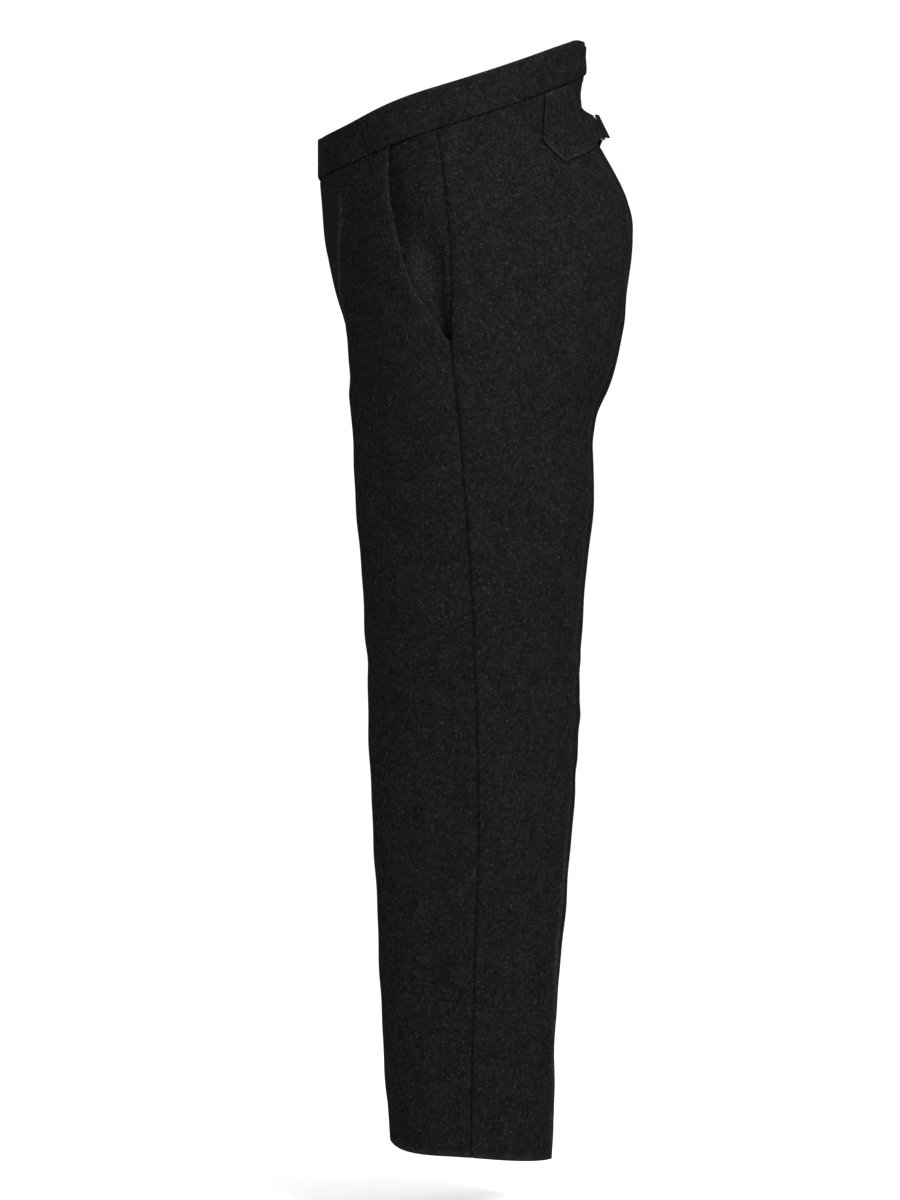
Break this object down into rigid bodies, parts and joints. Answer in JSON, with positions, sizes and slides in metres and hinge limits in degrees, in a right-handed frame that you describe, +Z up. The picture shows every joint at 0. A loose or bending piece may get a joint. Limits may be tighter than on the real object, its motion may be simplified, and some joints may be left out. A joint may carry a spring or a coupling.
{
  "type": "trousers",
  "caption": "High-waisted wool trousers in their worn shape, with slanted side pockets, a notched peak at the back of the waistband and a buckled cinch below it.",
  "frame": {"origin": "middle of the waist, level with the waistband's lower seam at the sides", "axes": "+Z up along the body, +X to the wearer's left, -Y to the front"},
  "size_m": [0.3762, 0.3264, 1.1441],
  "materials": {
    "wool": "milled charcoal wool with fine lighter flecks, matt",
    "buckle_metal": "blackened metal, satin"
  },
  "bodies": {
    "root": {"front_left": "wool", "front_right": "wool", "back_left": "wool", "back_right": "wool", "pocket_facing_left": "wool", "pocket_facing_right": "wool", "waistband_left": "wool", "waistband_right": "wool", "cinch_tab_left": "wool", "cinch_tab_right": "wool", "buckle": "buckle_metal"}
  },
  "joints": []
}
